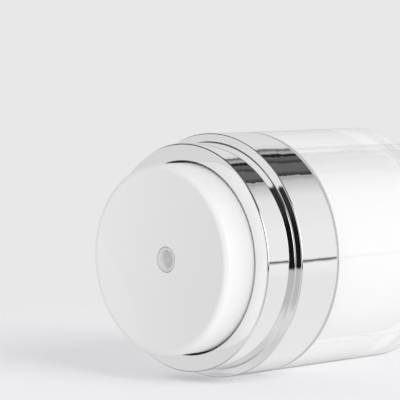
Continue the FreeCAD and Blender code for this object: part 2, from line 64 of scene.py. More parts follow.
def roundedRun(points, rounding, steps=7):
    # Inner points of a run of (r, z) points become arcs: the circle of the given radius that touches both
    # sides there, with its normal turned evenly from the one side's outward normal to the other's.
    # An arc takes at most arcRoom of the shorter side.
    p = np.asarray(points, float)
    radius = np.broadcast_to(np.asarray(rounding, float), (len(p) - 2,))[:, None]
    back, ahead = p[:-2] - p[1:-1], p[2:] - p[1:-1]
    backLength = np.linalg.norm(back, axis=1, keepdims=True)
    aheadLength = np.linalg.norm(ahead, axis=1, keepdims=True)
    back, ahead = back / backLength, ahead / aheadLength
    halfAngle = np.arccos(np.clip((back * ahead).sum(1, keepdims=True), -1, 1)) / 2
    room = arcRoom * np.minimum(backLength, aheadLength)
    radius = np.minimum(radius, room * np.tan(halfAngle))
    inward = back + ahead
    inward = inward / np.linalg.norm(inward, axis=1, keepdims=True)
    centre = p[1:-1] + inward * radius / np.sin(halfAngle)
    first = np.stack([-back[:, 1], back[:, 0]], 1)
    last = np.stack([ahead[:, 1], -ahead[:, 0]], 1)
    side = -np.sign((first * ahead).sum(1, keepdims=True))
    turn = np.arccos(np.clip((first * last).sum(1, keepdims=True), -1, 1))[:, None]
    t = np.linspace(0, 1, steps)[None, :, None]
    normal = (np.sin((1 - t) * turn) * first[:, None] + np.sin(t * turn) * last[:, None]) / np.sin(turn)
    arc = centre[:, None] + (side * radius)[:, None] * normal
    return arc.reshape(-1, 2), normal.reshape(-1, 2)


def arcRun(centre, radius, start, end, steps, facing=1):
    # Points of a circle about the centre, from the start angle to the end angle.
    # Facing -1 turns the normals in.
    angle = np.linspace(start, end, steps)
    ray = np.stack([np.cos(angle), np.sin(angle)], 1)
    return np.asarray(centre, float) + radius * ray, facing * ray


def closedRun(corners, steps=7):
    # A closed run of (r, z, rounding) corners, each turned into an arc.
    c = np.asarray(corners, float)
    looped = np.vstack([c[-1:], c, c[:1]])
    return roundedRun(looped[:, :2], c[:, 2], steps)


def joinedRun(*runs):
    # The runs one after the other, each a pair of points and normals.
    return np.vstack([run[0] for run in runs]), np.vstack([run[1] for run in runs])


def putMesh(name, verts, faces, normals, material, body, replaced):
    # One finished piece at the origin, with its own normals, riding on a body in place of its node.
    mesh = bpy.data.meshes.new(name)
    mesh.from_pydata(verts.tolist(), [], faces)
    mesh.polygons.foreach_set("use_smooth", np.ones(len(mesh.polygons), bool))
    mesh.update()
    mesh.normals_split_custom_set_from_vertices(normals.tolist())
    mesh.materials.append(material)
    piece = bpy.data.objects.new(name, mesh)
    scene.collection.objects.link(piece)
    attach(piece, body)
    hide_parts(replaced)
    return piece


def turnedPiece(name, run, material, body, replaced, around):
    # Lathe: each point (r, z) of the closed run goes to (r cos a, r sin a, z), for even angles a.
    points, lean = run
    a = np.linspace(0, 2 * math.pi, around, endpoint=False)
    ring = np.stack([np.cos(a), np.sin(a)], 1)
    r, z = points[:, 0, None], points[:, 1, None]
    verts = np.stack([r * ring[:, 0], r * ring[:, 1], z + 0 * ring[:, 0]], -1).reshape(-1, 3) * mm
    normals = np.stack(
        [lean[:, :1] * ring[:, 0], lean[:, :1] * ring[:, 1], lean[:, 1:] + 0 * ring[:, 0]], -1
    ).reshape(-1, 3)
    i, j = np.meshgrid(np.arange(len(points)), np.arange(around), indexing="ij")
    iNext, jNext = (i + 1) % len(points), (j + 1) % around
    row, rowNext = i * around, iNext * around
    quads = np.stack([row + j, row + jNext, rowNext + jNext, rowNext + j], -1).reshape(-1, 4)
    return putMesh(name, verts, quads.tolist(), normals, material, body, replaced)


# Shared finishes

def newGroup(name, inputs, outputs):
    group = bpy.data.node_groups.new(name, "ShaderNodeTree")
    for label, kind, value in inputs:
        socket = group.interface.new_socket(label, in_out="INPUT", socket_type=kind)
        socket.default_value = value
    for label, kind in outputs:
        group.interface.new_socket(label, in_out="OUTPUT", socket_type=kind)
    return group, group.nodes.new("NodeGroupInput"), group.nodes.new("NodeGroupOutput")


def addNode(tree, kind, **values):
    node = tree.nodes.new(kind)
    for key, value in values.items():
        setattr(node, key, value)
    return node


def mathNode(tree, operation, first, second=None, clamp=False):
    # first and second are sockets or numbers.
    node = addNode(tree, "ShaderNodeMath", operation=operation, use_clamp=clamp)
    for index, value in enumerate((first, second)):
        if value is None:
            continue
        if isinstance(value, (int, float)):
            node.inputs[index].default_value = value
        else:
            tree.links.new(value, node.inputs[index])
    return node.outputs[0]


def noiseNode(tree, vector, scale, detail, roughness=0.5):
    node = addNode(tree, "ShaderNodeTexNoise")
    tree.links.new(vector, node.inputs["Vector"])
    if isinstance(scale, (int, float)):
        node.inputs["Scale"].default_value = scale
    else:
        tree.links.new(scale, node.inputs["Scale"])
    node.inputs["Detail"].default_value = detail
    node.inputs["Roughness"].default_value = roughness
    return node.outputs["Fac"]


def smoothStep(tree, value, edge):
    # 0 below the edge's first number, 1 above its second, and an even rise between them.
    node = addNode(tree, "ShaderNodeMapRange", interpolation_type="SMOOTHSTEP")
    tree.links.new(value, node.inputs["Value"])
    node.inputs["From Min"].default_value, node.inputs["From Max"].default_value = edge
    return node.outputs["Result"]


def mixColor(tree, factor, first, second):
    # first and second are sockets, grey levels or colours.
    mix = addNode(tree, "ShaderNodeMix", data_type="RGBA")
    tree.links.new(factor, mix.inputs["Factor"])
    for socket, value in ((mix.inputs["A"], first), (mix.inputs["B"], second)):
        if isinstance(value, float):
            socket.default_value = (value, value, value, 1)
        elif isinstance(value, tuple):
            socket.default_value = (*value, 1)
        else:
            tree.links.new(value, socket)
    return mix.outputs["Result"]


moulding = dict(fineDetail=4.0, slowDetail=3.0)


def mouldedSkinGroup(detail):
    # Fine moulded texture: a fine noise gives a height, and a slow one a change of gloss and tone.
    group, enter, leave = newGroup(
        "mouldedSkin",
        [("Grain scale", "NodeSocketFloat", 2600.0), ("Gloss scale", "NodeSocketFloat", 140.0),
         ("Roughness", "NodeSocketFloat", 0.35), ("Roughness range", "NodeSocketFloat", 0.08),
         ("Tone range", "NodeSocketFloat", 0.02)],
        [("Roughness", "NodeSocketFloat"), ("Tone", "NodeSocketFloat"), ("Height", "NodeSocketFloat")],
    )
    place = addNode(group, "ShaderNodeTexCoord").outputs["Object"]
    fine = noiseNode(group, place, enter.outputs["Grain scale"], detail["fineDetail"])
    slow = noiseNode(group, place, enter.outputs["Gloss scale"], detail["slowDetail"])
    centred = mathNode(group, "SUBTRACT", slow, 0.5)
    rough = mathNode(group, "MULTIPLY", centred, enter.outputs["Roughness range"])
    tone = mathNode(group, "MULTIPLY", centred, enter.outputs["Tone range"])
    gloss = mathNode(group, "ADD", enter.outputs["Roughness"], rough, True)
    group.links.new(gloss, leave.inputs["Roughness"])
    group.links.new(mathNode(group, "ADD", 1.0, tone), leave.inputs["Tone"])
    group.links.new(fine, leave.inputs["Height"])
    return group


handling = dict(squeeze=(1.0, 1.0, 3.5), detail=5.0, roughness=0.6, cut=(0.52, 0.74))


def handlingGroup(marks):
    # Faint wipe marks: noise stretched round the axis, cut to its upper part, where the gloss is lower.
    group, enter, leave = newGroup(
        "handlingMarks",
        [("Scale", "NodeSocketFloat", 60.0), ("Amount", "NodeSocketFloat", 0.04),
         ("Roughness", "NodeSocketFloat", 0.03)],
        [("Roughness", "NodeSocketFloat")],
    )
    place = addNode(group, "ShaderNodeTexCoord").outputs["Object"]
    squeezed = addNode(group, "ShaderNodeMapping")
    squeezed.inputs["Scale"].default_value = marks["squeeze"]
    group.links.new(place, squeezed.inputs["Vector"])
    broad = noiseNode(group, squeezed.outputs["Vector"], enter.outputs["Scale"], marks["detail"],
                      marks["roughness"])
    extra = mathNode(group, "MULTIPLY", smoothStep(group, broad, marks["cut"]), enter.outputs["Amount"])
    gloss = mathNode(group, "ADD", enter.outputs["Roughness"], extra, True)
    group.links.new(gloss, leave.inputs["Roughness"])
    return group


mouldedSkin = mouldedSkinGroup(moulding)
handlingMarks = handlingGroup(handling)


def newMaterial(name, viewColor):
    material = bpy.data.materials.new(name)
    material.use_nodes = True
    material.diffuse_color = (*viewColor, 1)
    tree = material.node_tree
    tree.nodes.clear()
    shader = addNode(tree, "ShaderNodeBsdfPrincipled")
    output = addNode(tree, "ShaderNodeOutputMaterial")
    tree.links.new(shader.outputs[0], output.inputs["Surface"])
    return material, tree, shader


def seeThrough(tree, shader, share):
    # The finish lets rays straight through by the share, a socket from 0 to 1.
    surface = shader.outputs[0].links[0].to_socket
    clear = addNode(tree, "ShaderNodeBsdfTransparent")
    mix = addNode(tree, "ShaderNodeMixShader")
    tree.links.new(share, mix.inputs[0])
    tree.links.new(shader.outputs[0], mix.inputs[1])
    tree.links.new(clear.outputs[0], mix.inputs[2])
    tree.links.new(mix.outputs[0], surface)


def placeGroup(tree, group, **values):
    node = addNode(tree, "ShaderNodeGroup", node_tree=group)
    for key, value in values.items():
        node.inputs[key.replace("_", " ")].default_value = value
    return node


def bumped(tree, shader, height, distance):
    bump = addNode(tree, "ShaderNodeBump")
    bump.inputs["Distance"].default_value = distance
    bump.inputs["Strength"].default_value = 1.0
    tree.links.new(height, bump.inputs["Height"])
    tree.links.new(bump.outputs["Normal"], shader.inputs["Normal"])


def skinned(tree, shader, look):
    # Colour times the slow change of tone, gloss and height from the moulded skin.
    skin = placeGroup(tree, mouldedSkin, Grain_scale=look["grain"], Gloss_scale=look["patch"],
                      Roughness=look["rough"], Roughness_range=look["roughRange"],
                      Tone_range=look["toneRange"])
    toned = addNode(tree, "ShaderNodeMix", data_type="RGBA", blend_type="MULTIPLY")
    toned.inputs["Factor"].default_value = 1.0
    toned.inputs["A"].default_value = (*look["color"], 1)
    tree.links.new(skin.outputs["Tone"], toned.inputs["B"])
    tree.links.new(toned.outputs["Result"], shader.inputs["Base Color"])
    tree.links.new(skin.outputs["Roughness"], shader.inputs["Roughness"])
    bumped(tree, shader, skin.outputs["Height"], look["bump"])
    return toned


def wiped(tree, shader, look):
    # Gloss from the wipe marks.
    marks = placeGroup(tree, handlingMarks, Scale=look["marks"], Amount=look["markRough"],
                       Roughness=look["rough"])
    tree.links.new(marks.outputs["Roughness"], shader.inputs["Roughness"])


def shadedMiddleColor(tree, look):
    # Painted shade: a darker colour round the bottle's axis, for the shade in the outlet's cup and in the
    # bore under its thin membrane. It turns into the plain colour further out.
    place = addNode(tree, "ShaderNodeTexCoord").outputs["Object"]
    flat = addNode(tree, "ShaderNodeVectorMath", operation="MULTIPLY")
    tree.links.new(place, flat.inputs[0])
    flat.inputs[1].default_value = (1, 1, 0)
    radius = addNode(tree, "ShaderNodeVectorMath", operation="LENGTH")
    tree.links.new(flat.outputs["Vector"], radius.inputs[0])
    outward = smoothStep(tree, radius.outputs["Value"], look["middleEdge"])
    return mixColor(tree, outward, look["middle"], look["color"])


milkyRadius = (0.002, 0.0018, 0.0016)


def mouldedPlastic(name, look):
    # Injection-moulded plastic, milky inside where its look says so.
    material, tree, shader = newMaterial(name, look["color"])
    toned = skinned(tree, shader, look)
    # Where the look has a middle colour, its centre is painted darker: painted shade.
    if "middle" in look:
        tree.links.new(shadedMiddleColor(tree, look), toned.inputs["A"])
    shader.inputs["IOR"].default_value = look["ior"]
    shader.inputs["Subsurface Weight"].default_value = look["milky"]
    shader.inputs["Subsurface Radius"].default_value = milkyRadius
    shader.inputs["Subsurface Scale"].default_value = look["milkyDepth"]
    return material


whiteGlossLook = dict(color=(0.9, 0.9, 0.905), grain=5200.0, patch=90.0, rough=0.34, roughRange=0.08,
                      toneRange=0.015, bump=0.000004, ior=1.46, milky=0.0, milkyDepth=1.0)
whitePlasticLook = dict(color=(0.93, 0.93, 0.93), grain=3600.0, patch=120.0, rough=0.45, roughRange=0.1,
                        toneRange=0.02, bump=0.000006, ior=1.49, milky=0.0, milkyDepth=1.0)
naturalLook = dict(color=(0.8, 0.81, 0.81), grain=3000.0, patch=160.0, rough=0.38, roughRange=0.1,
                   toneRange=0.04, bump=0.000006, ior=1.49, milky=0.25, milkyDepth=0.6)
softLook = dict(color=(0.87, 0.87, 0.85), grain=2400.0, patch=130.0, rough=0.5, roughRange=0.1,
                toneRange=0.03, bump=0.000008, ior=1.51, milky=0.3, milkyDepth=0.8)
siliconeLook = dict(color=(0.74, 0.745, 0.755), grain=4200.0, patch=300.0, rough=0.22, roughRange=0.08,
                    toneRange=0.04, bump=0.000004, ior=1.41, milky=0.4, milkyDepth=0.5)
# The outlet's middle colour is painted shade, darker towards the axis.
outletLook = dict(siliconeLook, color=(0.79, 0.79, 0.79), rough=0.1, middle=(0.72, 0.72, 0.72),
                  middleEdge=(0.0012, 0.002))
gasketLook = dict(color=(0.84, 0.84, 0.82), grain=7000.0, patch=400.0, rough=0.8, roughRange=0.1,
                  toneRange=0.06, bump=0.00004, ior=1.45, milky=0.1, milkyDepth=0.4)

whiteGloss = mouldedPlastic("whiteGloss", whiteGlossLook)
whitePlastic = mouldedPlastic("whitePlastic", whitePlasticLook)
naturalPlastic = mouldedPlastic("naturalPlastic", naturalLook)
softPlastic = mouldedPlastic("softPlastic", softLook)
clearSilicone = mouldedPlastic("clearSilicone", siliconeLook)
outletSilicone = mouldedPlastic("outletSilicone", outletLook)
gasketFoam = mouldedPlastic("gasketFoam", gasketLook)


def chromeMaterial(look):
    # Mirror plating: almost no roughness, a little more under faint wipe marks, and a very slow waviness.
    material, tree, shader = newMaterial("chromePlating", look["color"])
    shader.inputs["Base Color"].default_value = (*look["color"], 1)
    shader.inputs["Metallic"].default_value = 1.0
    wiped(tree, shader, look)
    place = addNode(tree, "ShaderNodeTexCoord").outputs["Object"]
    bumped(tree, shader, noiseNode(tree, place, look["wave"], look["waveDetail"]), look["waveHeight"])
    return material


def acrylicMaterial(look):
    # Polished clear acrylic. Shadow rays and scattered rays pass straight, so that the light reaches the
    # white chamber inside. So do rays thrown back inside the wall more often than trapped says.
    material, tree, shader = newMaterial("clearAcrylic", look["color"])
    shader.inputs["Base Color"].default_value = (*look["color"], 1)
    shader.inputs["Transmission Weight"].default_value = 1.0
    shader.inputs["IOR"].default_value = look["ior"]
    wiped(tree, shader, look)
    path = addNode(tree, "ShaderNodeLightPath")
    straight = mathNode(tree, "MAXIMUM", path.outputs["Is Shadow Ray"], path.outputs["Is Diffuse Ray"])
    caught = mathNode(tree, "GREATER_THAN", path.outputs["Glossy Depth"], look["trapped"])
    seeThrough(tree, shader, mathNode(tree, "MAXIMUM", straight, caught))
    return material


def steelMaterial(look):
    # Drawn spring wire: bare metal with an uneven gloss.
    material, tree, shader = newMaterial("springSteel", look["color"])
    shader.inputs["Metallic"].default_value = 1.0
    skinned(tree, shader, look)
    return material


chromeLook = dict(color=(0.95, 0.95, 0.955), rough=0.02, marks=55.0, markRough=0.03, wave=300.0,
                  waveDetail=1.0, waveHeight=0.000012)
acrylicLook = dict(color=(0.99, 0.99, 0.99), ior=1.49, rough=0.0, marks=45.0, markRough=0.02, trapped=2.5)
steelLook = dict(color=(0.6, 0.6, 0.61), grain=6000.0, patch=900.0, rough=0.28, roughRange=0.2,
                 toneRange=0.1, bump=0.000003)
chromePlating = chromeMaterial(chromeLook)
clearAcrylic = acrylicMaterial(acrylicLook)
springSteel = steelMaterial(steelLook)
print("finishes: %d" % len(bpy.data.materials))


# Clear shell: foot ring, heavy base, neck with its snap bead

shellBox = solidBox("outer_bottle")
shoulderBox = solidBox("shoulder_ring")
shell = dict(radius=shellBox["reach"], bodyTop=shoulderBox["foot"], rim=shellBox["top"], baseRound=1.2,
             footInner=20.8, recess=0.5, vent=1.2, floor=4.6, bore=22.7, boreRound=2.0, topRound=0.9,
             neck=25.2, beadLow=41.8, beadTop=43.0, bead=0.35, edge=0.12, around=288)


def shellRun(size):
    # The outline goes from the vent along the base, up the wall and the neck, and back down the bore.
    beadMiddle = (size["beadLow"] + size["beadTop"]) / 2
    return closedRun([
        (size["vent"], size["recess"], size["edge"]),
        (size["footInner"], size["recess"], size["edge"]),
        (size["footInner"], 0, size["edge"]),
        (size["radius"], 0, size["baseRound"]),
        (size["radius"], size["bodyTop"], size["topRound"]),
        (size["neck"], size["bodyTop"], size["edge"]),
        (size["neck"], size["beadLow"], size["edge"]),
        (size["neck"] + size["bead"], beadMiddle, size["edge"]),
        (size["neck"], size["beadTop"], size["edge"]),
        (size["neck"], size["rim"], size["edge"]),
        (size["bore"], size["rim"], size["edge"]),
        (size["bore"], size["floor"], size["boreRound"]),
        (size["vent"], size["floor"], size["edge"]),
    ])


turnedPiece("outerBottle", shellRun(shell), clearAcrylic, "bottle", "outer_bottle",
            shell["around"])
print("clear shell: %.1f mm across" % (2 * shell["radius"]))


# White chamber: vented floor, hanging flange, snap bead under the rim

chamberBox = solidBox("inner_bottle")
chamber = dict(outer=21.6, inner=20.3, low=chamberBox["foot"], rim=chamberBox["top"], floor=6.3, vent=1.5,
               footRound=1.6, floorRound=0.25, flange=chamberBox["reach"], flangeLow=shell["rim"],
               flangeTop=46.0, beadLow=48.2, beadTop=49.4, bead=0.4, edge=0.12, around=192)


def chamberRun(size):
    # The outline goes from the vent along the floor, up past flange and bead, and back down the bore.
    beadMiddle = (size["beadLow"] + size["beadTop"]) / 2
    return closedRun([
        (size["vent"], size["low"], size["edge"]),
        (size["outer"], size["low"], size["footRound"]),
        (size["outer"], size["flangeLow"], size["edge"]),
        (size["flange"], size["flangeLow"], size["edge"]),
        (size["flange"], size["flangeTop"], size["edge"]),
        (size["outer"], size["flangeTop"], size["edge"]),
        (size["outer"], size["beadLow"], size["edge"]),
        (size["outer"] + size["bead"], beadMiddle, size["edge"]),
        (size["outer"], size["beadTop"], size["edge"]),
        (size["outer"], size["rim"], size["edge"]),
        (size["inner"], size["rim"], size["edge"]),
        (size["inner"], size["floor"], size["floorRound"]),
        (size["vent"], size["floor"], size["edge"]),
    ])


turnedPiece("innerBottle", chamberRun(chamber), whitePlastic, "bottle", "inner_bottle",
            chamber["around"])
print("white chamber: %.1f mm bore" % (2 * chamber["inner"]))


# Chrome rings: the shoulder flush with the body, and the smaller collar on its step

shoulder = dict(radius=shoulderBox["reach"], low=shoulderBox["foot"], step=shoulderBox["top"], inner=25.7,
                opening=24.7, top=1.2, ledge=24.2, ledgeLow=chamber["flangeTop"], ledgeTop=47.2, bead=25.3,
                beadLow=40.8, beadTop=41.8, edgeRound=0.28, lowRound=0.5, edge=0.12, around=360)


def shoulderRun(size):
    # The outline goes up the wall, in over the step, and back down past the ledge and the snap bead.
    beadMiddle = (size["beadLow"] + size["beadTop"]) / 2
    return closedRun([
        (size["inner"], size["low"], size["edge"]),
        (size["radius"], size["low"], size["lowRound"]),
        (size["radius"], size["step"], size["edgeRound"]),
        (size["opening"], size["step"], size["edge"]),
        (size["opening"], size["step"] - size["top"], size["edge"]),
        (size["inner"], size["step"] - size["top"], size["edge"]),
        (size["inner"], size["ledgeTop"], size["edge"]),
        (size["ledge"], size["ledgeTop"], size["edge"]),
        (size["ledge"], size["ledgeLow"], size["edge"]),
        (size["inner"], size["ledgeLow"], size["edge"]),
        (size["inner"], size["beadTop"], size["edge"]),
        (size["bead"], beadMiddle, size["edge"]),
        (size["inner"], size["beadLow"], size["edge"]),
    ])


collarBox = solidBox("collar_ring")
collar = dict(radius=collarBox["reach"], spigotLow=collarBox["foot"], top=collarBox["top"], inner=24.0,
              step=shoulder["step"], spigot=24.6, bore=21.3, under=58.4, lip=0.6, lipLow=57.5,
              edgeRound=0.4, boreRound=0.15, cove=0.55, coveEdge=0.02, edge=0.1, around=360)


def collarRun(size):
    # The outline goes round the spigot, up the cove and the wall, in over the top and round the bore's lip.
    return closedRun([
        (size["inner"], size["spigotLow"], size["edge"]),
        (size["spigot"], size["spigotLow"], size["edge"]),
        (size["spigot"], size["step"], size["edge"]),
        (size["radius"] + size["cove"] + size["edge"], size["step"], 0.0),
        (size["radius"], size["step"] + size["coveEdge"], size["cove"]),
        (size["radius"], size["top"], size["edgeRound"]),
        (size["bore"], size["top"], size["boreRound"]),
        (size["bore"], size["lipLow"], size["edge"]),
        (size["bore"] + size["lip"], size["lipLow"], size["edge"]),
        (size["bore"] + size["lip"], size["under"], size["edge"]),
        (size["inner"], size["under"], size["edge"]),
    ])


turnedPiece("shoulderRing", shoulderRun(shoulder), chromePlating, "bottle",
            "shoulder_ring", shoulder["around"])
turnedPiece("collarRing", collarRun(collar), chromePlating, "bottle", "collar_ring",
            collar["around"])
print("chrome rings: %.1f and %.1f mm across" % (2 * shoulder["radius"], 2 * collar["radius"]))


# Press head: a ball's hollow that runs into a rounded edge, a skirt and a boss

headBox = solidBox("press_head")
head = dict(radius=headBox["reach"], wall=1.3, low=headBox["foot"], rim=headBox["top"], dish=2.3, plate=1.6,
            edgeRound=1.3, skirtRound=0.4, hole=2.8, holeRound=0.15, holeRun=1.0, bossOuter=5.75,
            bossInner=4.55, bossLow=61.1, pad=63.7, edge=0.12, edgeSteps=20, faceSteps=40, insideSteps=24,
            around=288)


def headRun(size):
    # The dish is part of a ball. It runs smoothly into the edge's circle, because their centres lie the
    # ball's radius plus edgeRound apart.
    edgeCircle = size["radius"] - size["edgeRound"]
    reach = (edgeCircle ** 2 + size["dish"] ** 2) / (2 * size["dish"])
    ball = reach - size["edgeRound"]
    ballZ = size["rim"] - size["dish"] + ball
    edgeAngle = math.atan2(reach - size["dish"], -edgeCircle)
    skirt = size["radius"] - size["wall"]
    under = ball + size["plate"]

    def dishAngle(r, ballRadius):
        return math.atan2(-math.sqrt(ballRadius ** 2 - r ** 2), r)

    def onBall(r, ballRadius):
        return (r, ballZ - math.sqrt(ballRadius ** 2 - r ** 2))

    edge = arcRun((edgeCircle, size["rim"] - size["edgeRound"]), size["edgeRound"], 0, edgeAngle,
                  size["edgeSteps"])
    lip = dishAngle(size["hole"] + size["holeRound"], ball)
    face = arcRun((0, ballZ), ball, edgeAngle - math.pi, lip, size["faceSteps"], -1)
    boss = roundedRun([
        onBall(size["hole"] + size["holeRun"], ball),
        onBall(size["hole"], ball),
        (size["hole"], size["pad"]),
        (size["bossInner"], size["pad"]),
        (size["bossInner"], size["bossLow"]),
        (size["bossOuter"], size["bossLow"]),
        onBall(size["bossOuter"], under),
    ], [size["holeRound"]] + [size["edge"]] * 4)
    bossEnd = dishAngle(size["bossOuter"] + size["edge"], under)
    skirtEnd = dishAngle(skirt - size["edge"], under)
    inside = arcRun((0, ballZ), under, bossEnd, skirtEnd, size["insideSteps"])
    side = roundedRun([onBall(skirt, under), (skirt, size["low"]), (size["radius"], size["low"]),
                       (size["radius"], size["rim"] - size["edgeRound"])], [size["edge"], size["skirtRound"]])
    return joinedRun(edge, face, boss, inside, side)


turnedPiece("pressHead", headRun(head), whiteGloss, "head", "press_head", head["around"])


# Soft outlet: a cup level with the dish, with a domed floor

nozzleBox = solidBox("nozzle_valve")
nozzle = dict(neck=2.7, wall=0.6, top=nozzleBox["top"], recess=1.15, draft=0.35, dome=0.3, membrane=0.45,
              slit=0.05, bore=1.6, flange=nozzleBox["reach"], flangeLow=nozzleBox["foot"], flangeTop=63.65,
              edge=0.1, cupRound=0.5, around=128)


def nozzleRun(size):
    # The outline goes round the flange, up the neck, into the cup and through the slit in its domed floor.
    inner = size["neck"] - size["wall"]
    floorZ = size["top"] - size["recess"]
    return closedRun([
        (size["bore"], size["flangeLow"], size["edge"]),
        (size["flange"], size["flangeLow"], size["edge"]),
        (size["flange"], size["flangeTop"], size["edge"]),
        (size["neck"], size["flangeTop"], size["edge"]),
        (size["neck"], size["top"], size["edge"]),
        (inner, size["top"], size["edge"]),
        (inner - size["draft"], floorZ, size["cupRound"]),
        (size["slit"], floorZ + size["dome"], size["edge"]),
        (size["slit"], floorZ + size["dome"] - size["membrane"], size["edge"]),
        (size["bore"], floorZ - size["membrane"], size["edge"]),
    ])


turnedPiece("nozzleValve", nozzleRun(nozzle), outletSilicone, "head", "nozzle_valve",
            nozzle["around"])
print("head: %.1f mm across, outlet %.1f mm" % (2 * head["radius"], 2 * head["hole"]))


# Return spring inside the pump

springBox = solidBox("return_spring")
spring = dict(reach=springBox["reach"], foot=springBox["foot"], top=springBox["top"], wire=0.4, turns=6,
              close=0.6, seat=41.2, core=59.7, stroke=4.5, along=56, round=14)


def springPiece(size):
    # A helix whose height share is u - close*sin(2 pi u)/(2 pi). The wire's circle lies across it.
    radius = size["reach"] - size["wire"]
    low = size["foot"] + size["wire"]
    rise = size["top"] - size["wire"] - low
    count = size["turns"] * size["along"] + 1
    u = np.linspace(0, 1, count)
    a = 2 * math.pi * size["turns"] * u
    z = low + rise * (u - size["close"] * np.sin(2 * math.pi * u) / (2 * math.pi))
    climb = rise * (1 - size["close"] * np.cos(2 * math.pi * u)) / (2 * math.pi * size["turns"])
    out = np.stack([np.cos(a), np.sin(a), 0 * a], 1)
    line = out * radius + np.stack([0 * a, 0 * a, z], 1)
    along = np.stack([-radius * np.sin(a), radius * np.cos(a), climb], 1)
    along /= np.linalg.norm(along, axis=1, keepdims=True)
    over = np.cross(along, out)
    b = np.linspace(0, 2 * math.pi, size["round"], endpoint=False)
    lean = np.cos(b)[None, :, None] * out[:, None] + np.sin(b)[None, :, None] * over[:, None]
    wall = line[:, None] + size["wire"] * lean
    verts = np.vstack([wall.reshape(-1, 3), line[:1], line[-1:]]) * mm
    normals = np.vstack([lean.reshape(-1, 3), -along[:1], along[-1:]])
    n = size["round"]
    i, j = np.meshgrid(np.arange(count - 1), np.arange(n), indexing="ij")
    jNext = (j + 1) % n
    row, rowNext = i * n, (i + 1) * n
    quads = np.stack([row + j, row + jNext, rowNext + jNext, rowNext + j], -1).reshape(-1, 4).tolist()
    k = np.arange(n)
    kNext = (k + 1) % n
    foot = np.stack([kNext, k, np.full(n, count * n)], 1).tolist()
    end = (count - 1) * n
    tip = np.stack([end + k, end + kNext, np.full(n, count * n + 1)], 1).tolist()
    piece = putMesh("returnSpring", verts, quads + foot + tip, normals, springSteel, "bottle",
                    "return_spring")
    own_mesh(piece)
    return piece


springPiece(spring)
print("spring: %d turns" % spring["turns"])


# Finishes of the pieces that keep their solids

keptFinish = dict(
    snap_collar=whitePlastic, pump_carrier=whitePlastic, head_core=whitePlastic,
    pump_cylinder=naturalPlastic, valve_seat=naturalPlastic, stem_guide=naturalPlastic, stem=naturalPlastic,
    stem_tip=naturalPlastic, pump_piston=softPlastic, follower_piston=softPlastic,
    inlet_valve=clearSilicone, neck_gasket=gasketFoam, cylinder_gasket=gasketFoam,
)
for nodeName, finish in keptFinish.items():
    nodes[nodeName].data.materials.clear()
    nodes[nodeName].data.materials.append(finish)
print("kept solids: %d" % len(keptFinish))


# Stage: the bottle lies on its side in the picture, so the floor touches the body along one side

stage = dict(
    upTurn=-45.0,  # the picture's up, in degrees round the bottle's axis
    gap=0.02, middle=30.0,  # the floor's distance from the body, and its middle along the axis, in mm
    # lengths from here on are in m
    size=0.6, fade=(0.08, 0.16), floorColor=(0.45, 0.447, 0.46), floorRough=0.9,
    # floorGlow is the paper's even glow. The shade numbers set the painted contact shade where that glow dies
    # away.
    floorGlow=(0.37, 0.37, 0.378), background=0.806, shadeReach=0.004, shadeSamples=16, shadeLevel=0.7,
    shadeFrom=(0.046, 0.056), shadeOpen=(0.25, 0.7),
)
upAngle = math.radians(stage["upTurn"])
up = Vector((math.cos(upAngle), math.sin(upAngle), 0))
across = Vector((-math.sin(upAngle), math.cos(upAngle), 0))


def pictureDirection(parts):
    # A direction from its parts across the picture's floor, up from it and along the bottle's axis.
    return across * parts[0] + up * parts[1] + Vector((0, 0, parts[2]))


def floorSheet(paper):
    # A flat square whose normal is the picture's up, faded out from its middle and unseen from below.
    drop = (shell["radius"] + paper["gap"]) * mm
    centre = np.array(up) * -drop + np.array((0, 0, paper["middle"] * mm))
    half = paper["size"]
    verts = [centre + half * (x * np.array(across) + y * np.array((0, 0, 1)))
             for x, y in ((-1, -1), (-1, 1), (1, 1), (1, -1))]
    mesh = bpy.data.meshes.new("floorSheet")
    mesh.from_pydata([v.tolist() for v in verts], [], [(0, 1, 2, 3)])
    if mesh.polygons[0].normal.dot(up) < 0:
        mesh.flip_normals()
    floor = bpy.data.objects.new("floorSheet", mesh)
    scene.collection.objects.link(floor)
    floor.data.materials.append(floorPaper(paper, centre))
    floor.visible_diffuse = False
    floor.visible_transmission = False
    return floor


